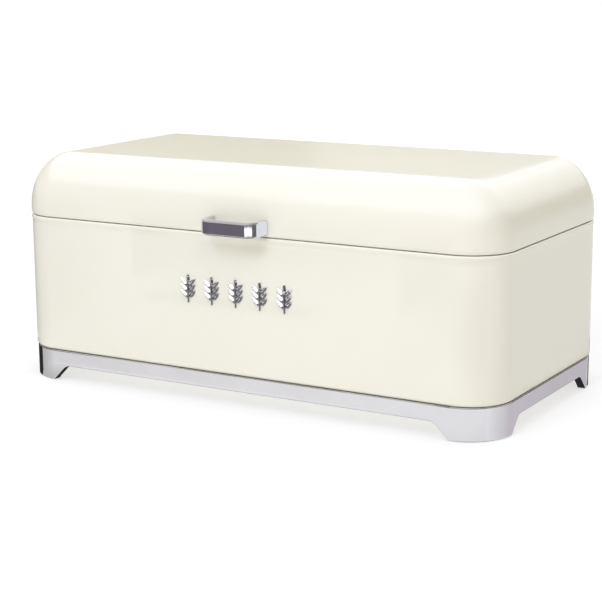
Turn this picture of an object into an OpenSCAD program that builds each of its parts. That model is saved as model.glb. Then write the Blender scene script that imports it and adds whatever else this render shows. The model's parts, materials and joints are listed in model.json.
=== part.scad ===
// Bread bin: a wide enamelled steel box with a domed lid hinged along its
// back, a bow handle, five wheat-ear ornaments and a plated plinth on four
// bracket feet.
// Lengths are in millimetres. X is the width, the front faces -Y, Z is up.
// The origin is on the table, under the middle of the whole bin.
// Sheet parts are drawn as sections: x is the inset from the bin's outline
// and y is the height above the table. ring() carries a section round it.

/* [Overall size] */
// Width of the lid and of the rim bead
bin_w = 420; // [380:1:460]
// Depth of the lid and of the rim bead, front to back
bin_d = 214.8; // [200:0.2:240]
// Height of the lid's flat crown above the table
bin_h = 182; // [178:0.5:186]
// Plan radius of the four corners, and inset of the crown
corner_r = 35; // [33:0.5:38]
// Height at which the lid meets the body
seam_z = 133.2; // [130:0.1:136]

/* [Lid] */
// Thickness of the lid's sheet
lid_t = 0.8; // [0.6:0.1:1]
// Height over which the lid curves from its skirt to its crown
crown_rise = 42.8; // [41:0.1:44]
// Width of the rolled hem along the lid's lower edge
hem_w = 4; // [3.5:0.1:4.5]

/* [Body] */
// Thickness of the body's sheet
body_t = 0.7; // [0.6:0.05:0.8]
// Inset of the body wall behind the rim bead
wall_inset = 0.44; // [0.3:0.02:0.6]
// Gap between the rim bead and the lid
seam_gap = 0.5; // [0.4:0.1:0.8]
// Height of the collar above the seam
collar_rise = 3.3; // [2.5:0.1:3.4]

/* [Plinth] */
// Height of the plinth's top, which carries the body
plinth_z = 25.2; // [24:0.1:27]
// Height of the plinth band's lower edge, over the arches
arch_z = 12.9; // [12:0.1:13.5]
// Length of each foot along the plinth's sides, at the table
foot_run = 33.8; // [32:0.1:35]
// Plan radius of the plinth's corners
plinth_r = 36; // [35:0.5:37]
// Width of the plinth's edge, seen at the ends of its feet
plinth_edge = 7; // [6:0.5:8]

/* [Handle] */
// Width of the handle over its two legs
handle_w = 50; // [46:0.5:54]
// Height of the handle's strap
handle_h = 11.3; // [10:0.1:12]
// Distance that the handle stands out from the lid
handle_reach = 19.8; // [17:0.2:22]
// Thickness of the handle's strap
handle_t = 4; // [3.4:0.1:4.4]
// Outer radius of the handle's two bends, in plan
handle_bend = 11; // [9:0.5:13]
// Distance of the handle's middle from the bin's, to the right
handle_x = 4; // [-5:0.2:5]
// Height of the handle's middle above the table
handle_z = 140.5; // [140:0.1:141]

/* [Hinges] */
// Distance of each hinge's middle from the middle of the bin
hinge_x = 110; // [80:5:140]
// Width of each hinge
hinge_w = 40; // [36:1:44]
// Distance of the hinge pins behind the lid's outline
hinge_back = 3; // [3:0.1:3.4]
// Distance that the lid's stop tongues stand out behind the pins
tongue_reach = 5; // [4.5:0.1:5.5]

/* [Ornament] */
// Distance between neighbouring wheat ears
ear_pitch = 21.2; // [19:0.2:24]
// Height of each wheat ear
ear_h = 22.6; // [21:0.2:24]
// Height of the ears' middle above the table
ear_z = 89.3; // [80:0.5:100]
// Thickness of each wheat ear
ear_t = 1.8; // [1.4:0.1:2.2]

/* [Hidden] */
$fn = 64;
eps = 0.01;         // overlap that joins faces which would only touch
overrun = 1;        // reach of a cut or a joined block past its face
arc_steps = 24;     // straight steps in a quarter of the crown's ellipse
fillet_steps = 6;   // straight steps in a quarter of a small fillet

cream = "#efe9d4";
chrome = "#c9ccd2";
bare_steel = "#a9acb0";
rubber = "#8d8f90";

// The handle reaches further forward than the hinges reach back, so the
// box stands this far behind the origin.
hinge_reach = hinge_back + tongue_reach;
body_y = (handle_reach - hinge_reach) / 2;
back_y = bin_d / 2;
wall_y = back_y - wall_inset;

// Lid and rim
skirt_z = bin_h - crown_rise;
lid_lift = 0.1;     // height of the lid's lower edge above the pins' axis
lid_z = seam_z + lid_lift;
edge_in = 1.7;      // inset of the lid's lowest edge
edge_rise = 3.5;    // height over which the lid's lower edge curls in
roll_z = 1.6;       // height of the hem's widest line above the lid's edge
hem_z = 3.3;        // height of the whole hem
bead_top = lid_z - seam_gap;
bead_h = 3.4;
bead_w = 2.6;
bead_r = 1.5;
bead_slope = 0.8;   // height of the slope from the wall out to the bead
inner_wall = wall_inset + body_t;
collar_in = 6;      // inset of the collar's upright, clear of the hem
collar_low = 122;
ledge_z = 128.3;
bumper_l = 9;
bumper_w = 2.9;
bumper_gap = 0.2;   // gap between a silencer block and the rim bead
bumper_play = 0.1;  // gap between a silencer block and the closed lid

// Bottom of the box
bottom_r = 3.2;
bottom_flange = 14;
pan_z = plinth_z + body_t;
pan_rise = 12;
screw_cut = 4;      // length of the cuts for the plinth's screws

// Plinth
plinth_wall = 2;
plinth_web = 1.8;
rib_t = 2;          // thickness of the ribs that tie the screw bosses
foot_z = 0.5;       // height of the plinth's feet above the table
sole_t = 2.5;
arch_fillet = 10;
arch_drop = 5;      // reach of the arches' cuts below the table
pad_in = 1.6;
pad_w = 3.8;
pad_sink = 1.2;
pad_ends = 12;      // angle left free at each end of a pad
boss_r = 3.8;
boss_z = 15.2;
screw_in = 8;
screw_x = 150;
screw_r = 1.5;
screw_head_r = 3.1;
screw_head_h = 2;
screw_hole_r = 1.8;
screw_l = 10;

// Handle fixings
stud_r = 1.5;
stud_l = 5;
stud_hole_r = 1.6;
washer_r = 3.3;
washer_t = 0.5;
nut_flats = 5.5;
nut_h = 2.4;
dome_r = 2.5;
nut_bore_r = 1.55;
nut_bore_l = 4;
rest_gap = 0.05;    // gap between sheets and washers that rest on each other
stud_x = handle_w / 2 - handle_t / 2;

// Hinges
axis_y = back_y + hinge_back;
axis_z = seam_z;
leaf_t = 1;
knuckle_r = 2.6;
pin_r = 1.25;
pin_play = 0.05;
pin_head_r = 1.9;
pin_head_l = 0.8;
mid_knuckle = 14;
side_gap = 0.4;
leaf_clear = 3.2;   // height of each leaf's edge away from the pin
body_leaf_h = 21;
lid_leaf_h = 16;
tongue_low = 1.4;
tongue_t = 1.2;
pin_gap = 0.2;      // gap between a pin's head and the outer knuckle
leaf_drop = 0.4;    // gap between the body leaf's plate and the rim bead
leaf_extra = 0.2;   // extra thickness of that plate, to reach past the bead
neck_out = 0.4;     // distance of the knuckles' necks behind the outline
rivet_r = 1.2;
rivet_cut = 6;      // length of the cuts for the rivets
rivet_head_r = 2.3;
rivet_head_h = 0.9;
rivet_x = 12;
body_rivet_z = 115;
lid_rivet_z = 146;

// Wheat ear
stem_w = 1.7;
grain_l = 9.6;
grain_w = 3.2;
grain_tilt = 44;
grain_rows = 3;
grain_gap = 4.6;
grain_drop = 1;     // drop of the first pair below the foot of the tip grain
stem_lap = 2;       // length of the stem inside the tip grain

// Points of an elliptical arc about c, from angle a to angle b
function arc(c, rx, ry, a, b, steps) = [for (i = [0 : steps])
    let (t = a + (b - a) * i / steps) [c[0] + rx * cos(t), c[1] + ry * sin(t)]];

// Inset and lean of the lid's outer face at height z on its shoulder
function rise(z) = (z - skirt_z) / crown_rise;
function crown_inset(z) = corner_r * (1 - sqrt(1 - pow(rise(z), 2)));
function crown_lean(z) =
    atan(corner_r / crown_rise * rise(z) / sqrt(1 - pow(rise(z), 2)));

// Inset of the lid's inner face at height z on its shoulder
function inner_inset(z) = lid_t + (corner_r - lid_t)
    * (1 - sqrt(1 - pow((z - skirt_z) / (crown_rise - lid_t), 2)));

// Carries a section round a rounded rectangle w by d, of corner radius r
module ring(w, d, r) {
    for (turn = [0 : 3]) {
        run = turn % 2 == 0 ? w : d;
        across = turn % 2 == 0 ? d : w;
        rotate([0, 0, 90 * turn]) {
            translate([r - run / 2, -across / 2, 0])
                rotate([90, 0, 90])
                    linear_extrude(run - 2 * r) children();
            translate([run / 2 - r, r - across / 2, 0])
                rotate([0, 0, -90])
                    rotate_extrude(angle = 90)
                        translate([r, 0]) mirror([1, 0]) children();
        }
    }
}

// Moves the box and what is fixed to it to its place behind the origin
module placed() {
    translate([0, body_y, 0]) children();
}

// Level sheet that closes the middle of a ring
module middle_plate(z, t) {
    translate([corner_r - bin_w / 2, corner_r - bin_d / 2, z])
        cube([bin_w - 2 * corner_r, bin_d - 2 * corner_r, t]);
}

// Shaft along Y from y = 0 backwards
module along_y(r, l) {
    rotate([-90, 0, 0]) cylinder(r = r, h = l);
}

module rivet_hole() {
    translate([0, -rivet_cut / 2, 0]) along_y(rivet_r, rivet_cut);
}

// ---- Lid ----

module lid_section() {
    polygon(concat(
        arc([edge_in, lid_z + edge_rise], edge_in, edge_rise, 270, 180, fillet_steps),
        arc([corner_r, skirt_z], corner_r, crown_rise, 180, 90, arc_steps),
        arc([corner_r, skirt_z], corner_r - lid_t, crown_rise - lid_t, 90, 180, arc_steps),
        arc([lid_t, lid_z + roll_z], hem_w - lid_t, hem_z - roll_z, 90, 0, fillet_steps),
        arc([edge_in, lid_z + roll_z], hem_w - edge_in, roll_z, 360, 271, fillet_steps)));
}

// Solid shape of the lid's outside, grown by g, over the handle or a leaf
module lid_block(g, x, l) {
    translate([x - l / 2, -back_y, 0])
        rotate([90, 0, 90])
            linear_extrude(l)
                polygon(concat([[back_y, lid_z + hem_z], [-g, lid_z + hem_z]],
                    arc([corner_r, skirt_z], corner_r + g, crown_rise + g, 180, 90, arc_steps),
                    [[back_y, bin_h + g]]));
}

module lid_shell() {
    color(cream) placed() difference() {
        union() {
            ring(bin_w, bin_d, corner_r) lid_section();
            middle_plate(bin_h - lid_t, lid_t);
        }
        for (side = [-1, 1]) {
            translate([handle_x + side * stud_x, -back_y - overrun, handle_z])
                along_y(stud_hole_r, lid_t + 2 * overrun);
            for (at = [-1, 1])
                lid_rivet_place(side * hinge_x + at * rivet_x) rivet_hole();
        }
    }
}

// ---- Handle ----

module bow_outline(w, reach, r) {
    translate([-w / 2, -reach + r]) square([w, reach - r + overrun]);
    translate([r - w / 2, -reach]) square([w - 2 * r, r + overrun]);
    for (side = [-1, 1])
        translate([side * (w / 2 - r), r - reach]) circle(r = r);
}

module handle() {
    color(chrome) placed() translate([handle_x, 0, 0]) {
        difference() {
            translate([0, -back_y, handle_z - handle_h / 2])
                linear_extrude(handle_h) difference() {
                    bow_outline(handle_w, handle_reach, handle_bend);
                    translate([0, overrun])
                        bow_outline(handle_w - 2 * handle_t,
                            handle_reach - handle_t + overrun, handle_bend - handle_t);
                }
            lid_block(0, 0, handle_w + 2 * overrun);
            translate([-handle_w, -back_y, 0])
                cube([2 * handle_w, hem_w + overrun, lid_z + hem_z]);
        }
        for (side = [-1, 1])
            translate([side * stud_x, -back_y - overrun, handle_z])
                along_y(stud_r, stud_l + overrun);
    }
}

// The washers touch the curved wall at their upper edges
function washer_in() = inner_inset(handle_z + washer_r) + rest_gap;

module handle_washers() {
    color(bare_steel) placed() for (side = [-1, 1])
        translate([handle_x + side * stud_x, washer_in() - back_y, handle_z])
            difference() {
                along_y(washer_r, washer_t);
                translate([0, -overrun, 0])
                    along_y(stud_hole_r, washer_t + 2 * overrun);
            }
}

// Dome nuts: turned shapes with blind bores, cut to a hexagon up to the dome
module handle_nuts() {
    nut_y = washer_in() + washer_t - back_y;
    across_corners = nut_flats / cos(30);
    color(chrome) placed() for (side = [-1, 1])
        translate([handle_x + side * stud_x, nut_y, handle_z])
            rotate([-90, 0, 0]) intersection() {
                rotate_extrude()
                    polygon(concat(
                        [[nut_bore_r, nut_bore_l], [nut_bore_r, 0],
                            [across_corners, 0], [across_corners, nut_h]],
                        arc([0, nut_h], dome_r, dome_r, 0, 90, fillet_steps),
                        [[0, nut_bore_l]]));
                rotate([0, 0, 30])
                    cylinder(d = across_corners, h = nut_h + 2 * dome_r, $fn = 6);
            }
}

// ---- Body ----

module body_section() {
    bead_low = bead_top - bead_h;
    bend = [wall_inset + bottom_r, plinth_z + bottom_r];
    crest = [bead_r, bead_top - bead_r];
    polygon(concat(
        [[bottom_flange, plinth_z]],
        arc(bend, bottom_r, bottom_r, 270, 180, fillet_steps),
        [[wall_inset, bead_low], [0, bead_low + bead_slope]],
        arc(crest, bead_r, bead_r, 180, 90, fillet_steps),
        arc(crest, bead_w - bead_r, bead_r, 89, 0, fillet_steps),
        [[bead_w, bead_low + bead_slope], [inner_wall, bead_low]],
        arc(bend, bottom_r - body_t, bottom_r - body_t, 180, 270, fillet_steps),
        [[bottom_flange, pan_z]]));
}

module body_shell() {
    color(cream) placed() difference() {
        ring(bin_w, bin_d, corner_r) body_section();
        plinth_screw_places() cylinder(r = screw_hole_r, h = screw_cut, center = true);
        for (side = [-1, 1], at = [-1, 1])
            body_rivet_place(side * hinge_x + at * rivet_x) rivet_hole();
    }
}

module floor_pan() {
    bend = [wall_inset + bottom_r, plinth_z + bottom_r];
    outer_r = bottom_r - body_t;
    inner_r = outer_r - body_t;
    color(cream) placed() difference() {
        union() {
            ring(bin_w, bin_d, corner_r)
                polygon(concat(
                    [[corner_r, pan_z]],
                    arc(bend, outer_r, outer_r, 270, 180, fillet_steps),
                    [[inner_wall, pan_z + pan_rise], [inner_wall + body_t, pan_z + pan_rise]],
                    arc(bend, inner_r, inner_r, 180, 270, fillet_steps),
                    [[corner_r, pan_z + body_t]]));
            middle_plate(pan_z, body_t);
        }
        plinth_screw_places() cylinder(r = screw_hole_r, h = screw_cut, center = true);
    }
}

module rim_collar() {
    low_in = inner_wall + body_t;
    top_z = seam_z + collar_rise;
    high_in = collar_in + body_t;
    color(cream) placed() ring(bin_w, bin_d, corner_r)
        polygon([[inner_wall, collar_low], [low_in, collar_low], [low_in, ledge_z],
            [high_in, ledge_z], [high_in, top_z], [collar_in, top_z],
            [collar_in, ledge_z + body_t], [inner_wall, ledge_z + body_t]]);
}

module lid_bumpers() {
    bumper_in = bead_w + bumper_gap;
    bumper_h = lid_z - bumper_play - ledge_z - body_t;
    color(rubber) placed() for (turn = [0 : 3]) {
        across = turn % 2 == 0 ? bin_d : bin_w;
        rotate([0, 0, 90 * turn])
            translate([-bumper_l / 2, bumper_in - across / 2, ledge_z + body_t])
                cube([bumper_l, bumper_w, bumper_h]);
    }
}

// ---- Plinth ----

// Opening under one side of the plinth, grown by g, run long at the outline
module arch_outline(run, g) {
    top_z = arch_z + g;
    fillet = arch_fillet + g;
    foot_x = run / 2 - foot_run + g * sqrt(2);
    knee = [foot_x - (top_z - foot_z), top_z];
    centre = [knee[0] - fillet * tan(22.5), top_z - fillet];
    right = concat([[foot_x + foot_z + arch_drop, -arch_drop]],
        arc(centre, fillet, fillet, 45, 90, fillet_steps));
    left = [for (i = [len(right) - 1 : -1 : 0]) [-right[i][0], right[i][1]]];
    polygon(concat(right, left));
}

module arches(w, d, g) {
    translate([0, d, 0]) rotate([90, 0, 0])
        linear_extrude(2 * d) arch_outline(w, g);
    rotate([0, 0, 90]) translate([0, w, 0]) rotate([90, 0, 0])
        linear_extrude(2 * w) arch_outline(d, g);
}

module plinth_screw_places() {
    for (sx = [-1, 1], sy = [-1, 1])
        translate([sx * screw_x, sy * (back_y - screw_in), pan_z]) children();
}

// One section rectangle, from inset a to inset b and from height low to high
module band(a, b, low, high) {
    translate([a, low]) square([b - a, high - low]);
}

// Runs an arc-shaped strip under the foot at the given corner
module under_foot(sx, sy, a, b, low, high, ends) {
    turn = sy > 0 ? (sx > 0 ? 0 : 90) : (sx > 0 ? 270 : 180);
    reach_x = bin_w / 2 - wall_inset - plinth_r;
    reach_y = wall_y - plinth_r;
    translate([sx * reach_x, sy * reach_y, 0])
        rotate([0, 0, turn + ends])
            rotate_extrude(angle = 90 - 2 * ends)
                translate([plinth_r, 0]) mirror([1, 0]) band(a, b, low, high);
}

// Boss for a plinth screw, with a rib that ties it to the wall
module plinth_boss() {
    translate([0, 0, boss_z]) cylinder(r = boss_r, h = plinth_z - boss_z);
    translate([-rib_t / 2, 0, boss_z])
        cube([rib_t, screw_in - wall_inset - plinth_wall / 2, plinth_z - boss_z]);
}

module plinth() {
    w = bin_w - 2 * wall_inset;
    d = bin_d - 2 * wall_inset;
    color(chrome) placed() difference() {
        union() {
            difference() {
                ring(w, d, plinth_r) band(0, plinth_edge, foot_z, plinth_z);
                difference() {
                    ring(w, d, plinth_r)
                        band(plinth_wall, plinth_edge + overrun,
                            foot_z + sole_t, plinth_z - plinth_web);
                    arches(w, d, plinth_web);
                }
            }
            for (sx = [-1, 1], turn = [0, 180])
                rotate([0, 0, turn])
                    translate([sx * screw_x, back_y - screw_in, 0]) plinth_boss();
        }
        arches(w, d, 0);
        plinth_screw_places() cylinder(r = screw_r, h = 2 * screw_l, center = true);
        for (sx = [-1, 1], sy = [-1, 1])
            under_foot(sx, sy, pad_in, pad_in + pad_w,
                foot_z - overrun, foot_z + pad_sink, pad_ends);
    }
}

module plinth_screws() {
    color(bare_steel) placed() plinth_screw_places() {
        translate([0, 0, body_t]) cylinder(r = screw_head_r, h = screw_head_h);
        translate([0, 0, body_t - screw_l]) cylinder(r = screw_r, h = screw_l + eps);
    }
}

module foot_pad(sx, sy) {
    color(rubber) placed()
        under_foot(sx, sy, pad_in, pad_in + pad_w, 0, foot_z + pad_sink, pad_ends);
}

// ---- Ornament ----

// Pointed grain of length l and width w, its foot at the origin, along +Y
module grain(l, w) {
    r = (l * l / 4 + w * w / 4) / w;
    translate([0, l / 2]) intersection() {
        translate([r - w / 2, 0]) circle(r = r, $fn = 128);
        translate([w / 2 - r, 0]) circle(r = r, $fn = 128);
    }
}

module wheat_ear(index) {
    tip = ear_h - grain_l;
    color(chrome) placed()
        translate([(index - 3) * ear_pitch, eps - wall_y, ear_z - ear_h / 2])
            rotate([90, 0, 0]) linear_extrude(ear_t) {
                translate([-stem_w / 2, 0]) square([stem_w, tip + stem_lap]);
                translate([0, tip]) grain(grain_l, grain_w);
                for (row = [1 : grain_rows], side = [-1, 1])
                    translate([0, tip - grain_drop - (row - 1) * grain_gap])
                        rotate([0, 0, -side * grain_tilt]) grain(grain_l, grain_w);
            }
}

// ---- Hinges ----

module knuckle(x, l) {
    translate([x - l / 2, axis_y, axis_z])
        rotate([0, 90, 0]) cylinder(r = knuckle_r, h = l);
}

module pin_hole(x, play) {
    translate([x - hinge_w, axis_y, axis_z])
        rotate([0, 90, 0]) cylinder(r = pin_r + play, h = 2 * hinge_w);
}

module body_rivet_place(x) {
    translate([x, wall_y, body_rivet_z]) children();
}

module lid_rivet_place(x) {
    translate([x, back_y - crown_inset(lid_rivet_z), lid_rivet_z])
        rotate([crown_lean(lid_rivet_z), 0, 0]) children();
}

// Leaf on the back of the body, with the middle knuckle
module hinge_body_leaf(side) {
    x = side * hinge_x;
    top = axis_z - leaf_clear;
    under_bead = bead_top - bead_h - leaf_drop;
    low = under_bead - body_leaf_h;
    color(bare_steel) placed() difference() {
        union() {
            translate([x - hinge_w / 2, wall_y, low])
                cube([hinge_w, leaf_t + leaf_extra, under_bead - low]);
            translate([x - hinge_w / 2, back_y + rest_gap, under_bead - overrun])
                cube([hinge_w, leaf_t, top - under_bead + overrun]);
            translate([x - mid_knuckle / 2, back_y + neck_out, top - overrun])
                cube([mid_knuckle, leaf_t, axis_z - top + overrun]);
            knuckle(x, mid_knuckle);
        }
        pin_hole(x, 0);
        for (at = [-1, 1]) body_rivet_place(x + at * rivet_x) rivet_hole();
    }
}

// Leaf on the back of the lid, with two outer knuckles and their tongues
module hinge_lid_leaf(side) {
    x = side * hinge_x;
    low = axis_z + leaf_clear;
    over_hem = lid_z + hem_z + overrun;
    part_l = (hinge_w - mid_knuckle) / 2 - side_gap;
    color(bare_steel) placed() difference() {
        union() {
            intersection() {
                rotate([0, 0, 180]) lid_block(leaf_t, -x, hinge_w);
                translate([x - hinge_w, 0, over_hem])
                    cube([2 * hinge_w, bin_d, low + lid_leaf_h - over_hem]);
            }
            translate([x - hinge_w / 2, back_y, low])
                cube([hinge_w, leaf_t, over_hem + overrun - low]);
            for (end = [-1, 1]) {
                mid = x + end * (hinge_w - part_l) / 2;
                translate([mid - part_l / 2, back_y + neck_out, axis_z])
                    cube([part_l, leaf_t - neck_out, leaf_clear + overrun]);
                knuckle(mid, part_l);
                translate([mid - part_l / 2, axis_y, axis_z - tongue_low])
                    cube([part_l, tongue_reach, tongue_t]);
            }
        }
        rotate([0, 0, 180]) lid_block(0, -x, 2 * hinge_w);
        pin_hole(x, pin_play);
        for (at = [-1, 1]) lid_rivet_place(x + at * rivet_x) rivet_hole();
    }
}

module hinge_pin(side) {
    x = side * hinge_x;
    color(chrome) placed() translate([x, axis_y, axis_z]) rotate([0, 90, 0]) {
        cylinder(r = pin_r, h = hinge_w + 2 * pin_gap, center = true);
        for (end = [-1, 1])
            translate([0, 0, end * (hinge_w / 2 + pin_gap + pin_head_l / 2)])
                cylinder(r = pin_head_r, h = pin_head_l, center = true);
    }
}

// Rivet along Y through sheets between y = from and y = to
module rivet(from, to) {
    translate([0, from - eps, 0]) along_y(rivet_r, to - from + 2 * eps);
    translate([0, from - rivet_head_h, 0]) along_y(rivet_head_r, rivet_head_h);
    translate([0, to, 0]) along_y(rivet_head_r, rivet_head_h);
}

module hinge_body_rivets() {
    color(chrome) placed() for (side = [-1, 1], at = [-1, 1])
        body_rivet_place(side * hinge_x + at * rivet_x)
            rivet(-body_t, leaf_t + leaf_extra);
}

module hinge_lid_rivets() {
    color(chrome) placed() for (side = [-1, 1], at = [-1, 1])
        lid_rivet_place(side * hinge_x + at * rivet_x)
            rivet(-lid_t, leaf_t);
}

body_shell();
floor_pan();
rim_collar();
plinth();
plinth_screws();
foot_pad(-1, -1);  // foot_pad_front_left
foot_pad(1, -1);  // foot_pad_front_right
foot_pad(-1, 1);  // foot_pad_rear_left
foot_pad(1, 1);  // foot_pad_rear_right
wheat_ear(1);  // wheat_ear_1
wheat_ear(2);  // wheat_ear_2
wheat_ear(3);  // wheat_ear_3
wheat_ear(4);  // wheat_ear_4
wheat_ear(5);  // wheat_ear_5
lid_bumpers();
hinge_body_leaf(-1);  // hinge_body_leaf_left
hinge_body_leaf(1);  // hinge_body_leaf_right
hinge_pin(-1);  // hinge_pin_left
hinge_pin(1);  // hinge_pin_right
hinge_body_rivets();
lid_shell();
handle();
handle_washers();
handle_nuts();
hinge_lid_leaf(-1);  // hinge_lid_leaf_left
hinge_lid_leaf(1);  // hinge_lid_leaf_right
hinge_lid_rivets();
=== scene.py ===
"""Bread bin in cream enamel with a domed lid, a bow handle and a chrome plinth.

Every piece is built in metres in the frame's own axes: X is the width, the
front faces -Y and Z is up. Sheet parts are sections swept round the bin's
outline: a section point is (inset from the outline, height).
"""
import json
import math

import bmesh
import bpy
from mathutils import Matrix, Vector

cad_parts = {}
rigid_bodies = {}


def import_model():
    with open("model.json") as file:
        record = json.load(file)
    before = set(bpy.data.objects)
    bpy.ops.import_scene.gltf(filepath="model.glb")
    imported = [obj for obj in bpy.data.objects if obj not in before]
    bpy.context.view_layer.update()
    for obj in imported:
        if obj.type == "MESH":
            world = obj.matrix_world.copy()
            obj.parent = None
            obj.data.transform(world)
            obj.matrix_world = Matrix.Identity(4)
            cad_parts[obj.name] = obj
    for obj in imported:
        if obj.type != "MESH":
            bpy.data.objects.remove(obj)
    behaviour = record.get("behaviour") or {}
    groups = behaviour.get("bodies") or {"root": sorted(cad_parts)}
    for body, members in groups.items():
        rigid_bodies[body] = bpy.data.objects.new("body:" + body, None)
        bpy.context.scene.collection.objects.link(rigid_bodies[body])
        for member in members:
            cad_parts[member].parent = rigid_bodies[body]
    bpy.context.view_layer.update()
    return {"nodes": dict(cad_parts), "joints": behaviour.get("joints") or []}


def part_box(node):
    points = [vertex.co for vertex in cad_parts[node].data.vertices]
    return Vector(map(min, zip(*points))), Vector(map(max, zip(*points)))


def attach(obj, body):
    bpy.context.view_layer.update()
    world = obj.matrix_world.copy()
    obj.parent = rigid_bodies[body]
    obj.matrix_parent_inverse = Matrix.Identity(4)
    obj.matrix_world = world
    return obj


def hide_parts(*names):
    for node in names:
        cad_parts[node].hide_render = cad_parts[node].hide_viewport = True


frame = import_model()

MM = 0.001

# ---- Sizes, from the frame ----

lid_low, lid_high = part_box("lid_shell")
body_low, body_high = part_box("body_shell")
plinth_low, plinth_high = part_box("plinth")
handle_low, handle_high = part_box("handle")
collar_low, collar_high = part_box("rim_collar")
pan_low, pan_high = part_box("floor_pan")
ear_low, ear_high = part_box("wheat_ear_3")
hinge_joint = frame["joints"][0]
hinge_axis = Vector(hinge_joint["pos_m"])

WIDTH = lid_high.x - lid_low.x
DEPTH = lid_high.y - lid_low.y
MID_Y = (lid_high.y + lid_low.y) / 2
CORNER_R = 35 * MM
CORNER_STEPS = 28

LID_T = 0.8 * MM
CROWN_RISE = 42.8 * MM
SKIRT_Z = lid_high.z - CROWN_RISE
HEM_W = 4 * MM
HEM_H = 3.3 * MM
HEM_ROLL = 1.6 * MM
EDGE_IN = 1.7 * MM
EDGE_RISE = 3.5 * MM

BODY_T = 0.7 * MM
WALL_INSET = 0.44 * MM
BOTTOM_R = 3.2 * MM
BOTTOM_FLANGE = 14 * MM
BEAD_H = 3.4 * MM
BEAD_W = 2.6 * MM
BEAD_R = 1.5 * MM

PLINTH_R = 36 * MM
FOOT_END = 2.2 * MM
ARCH_Z = 12.9 * MM
ARCH_FILLET = 10 * MM

SCREW_HEAD_R = 3.1 * MM
SHANK_R = 1.5 * MM

HANDLE_T = 4 * MM
HANDLE_BEND = 11 * MM
STUD_XS = (handle_low.x + HANDLE_T / 2, handle_high.x - HANDLE_T / 2)
STUD_Z = (handle_low.z + handle_high.z) / 2
STUD_R = 1.5 * MM

GRAIN_L = 9.6 * MM
GRAIN_W = 3.2 * MM
GRAIN_TILT = math.radians(44)
GRAIN_ROWS = 3
GRAIN_PITCH = 4.6 * MM
EAR_T = ear_high.y - ear_low.y

KNUCKLE_W = 14 * MM
KNUCKLE_GAP = 0.4 * MM
KNUCKLE_T = 1.2 * MM
CURL_R = 2.6 * MM - KNUCKLE_T / 2
LID_LEAF_T = 1 * MM
LEAF_EASE = 0.2 * MM
RIVET_SPREAD = 12 * MM
LID_RIVET_Z = 146 * MM

# Turns a lathed piece's axis from Z to Y.
FACE_BACK = Matrix.Rotation(math.radians(-90), 4, "X")


# ---- Sections and outlines ----

def arc(centre, rx, rz, start, end, steps):
    """Points of an elliptical arc about centre, between two angles in degrees."""
    points = []
    for i in range(steps + 1):
        a = math.radians(start + (end - start) * i / steps)
        points.append((centre[0] + rx * math.cos(a), centre[1] + rz * math.sin(a)))
    return points


def eased(corners, ease):
    """Closed outline whose corners are cut back by ease and turned in short steps."""
    steps = 3
    points = []
    for i, corner in enumerate(corners):
        before, here = Vector(corners[i - 1]), Vector(corner)
        after = Vector(corners[(i + 1) % len(corners)])
        start = here + (before - here).normalized() * ease
        end = here + (after - here).normalized() * ease
        for step in range(steps + 1):
            t = step / steps
            points.append(tuple(start * (1 - t) ** 2 + here * 2 * t * (1 - t) + end * t * t))
    return points


def outline(width, depth, radius, corner_angles, run_marks):
    """Stations round a rounded rectangle: (point, inward normal, run), anticlockwise.

    run is the distance past the nearest end of a corner: negative in a corner.
    """
    stations = []
    for quarter in range(4):
        turn = math.radians(90 * quarter)
        along = width if quarter % 2 else depth
        across = depth if quarter % 2 else width
        forward = Vector((-math.sin(turn), math.cos(turn)))
        outward = Vector((math.cos(turn), math.sin(turn)))
        half_run = along / 2 - radius
        for mark in run_marks(half_run):
            point = outward * across / 2 + forward * mark
            stations.append((point, -outward, half_run - abs(mark)))
        centre = outward * (across / 2 - radius) + forward * half_run
        for angle in corner_angles:
            a = turn + math.radians(angle)
            direction = Vector((math.cos(a), math.sin(a)))
            past = -radius * math.radians(min(angle, 90 - angle))
            stations.append((centre + direction * radius, -direction, past))
    return stations


def even_run(count):
    """Marks that split a side into count equal stretches, its start included."""
    return lambda half: [-half + 2 * half * i / count for i in range(count)]


def even_corner(steps):
    return [90 * i / steps for i in range(steps)]


def sweep(bm, stations, section_at, closed):
    """Skins a section round the stations. section_at(run) gives (inset, height) points."""
    rings = []
    for point, inward, run in stations:
        ring = []
        for inset, height in section_at(run):
            place = point + inward * inset
            ring.append(bm.verts.new((place.x, place.y + MID_Y, height)))
        rings.append(ring)
    count = len(rings[0])
    for i, ring in enumerate(rings):
        after = rings[(i + 1) % len(rings)]
        for j in range(count if closed else count - 1):
            k = (j + 1) % count
            bm.faces.new((ring[j], after[j], after[k], ring[k]))


def swept_shell(section_at, closed=True):
    """A sheet part whose section follows the bin's outline."""
    bm = bmesh.new()
    stations = outline(WIDTH, DEPTH, CORNER_R, even_corner(CORNER_STEPS), even_run(6))
    sweep(bm, stations, section_at, closed)
    return bm


def fill_middles(bm):
    """Closes every open loop with a face, and insets it to hold its edge."""
    margin = 3 * MM
    bmesh.ops.remove_doubles(bm, verts=bm.verts, dist=1e-7)
    loops = [e for e in bm.edges if e.is_boundary]
    made = bmesh.ops.edgeloop_fill(bm, edges=loops)["faces"]
    bmesh.ops.inset_individual(bm, faces=made, thickness=margin)


# ---- Making pieces ----

def add_piece(name, bm, material, body, node, smooth_angle=40):
    """Turns a bmesh into a named piece that rides on a body and stands for a node."""
    bmesh.ops.recalc_face_normals(bm, faces=bm.faces)
    mesh = bpy.data.meshes.new(name)
    bm.to_mesh(mesh)
    bm.free()
    mesh.shade_smooth()
    mesh.set_sharp_from_angle(angle=math.radians(smooth_angle))
    piece = bpy.data.objects.new(name, mesh)
    bpy.context.scene.collection.objects.link(piece)
    mesh.materials.append(material)
    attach(piece, body)
    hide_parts(node)
    return piece


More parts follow.
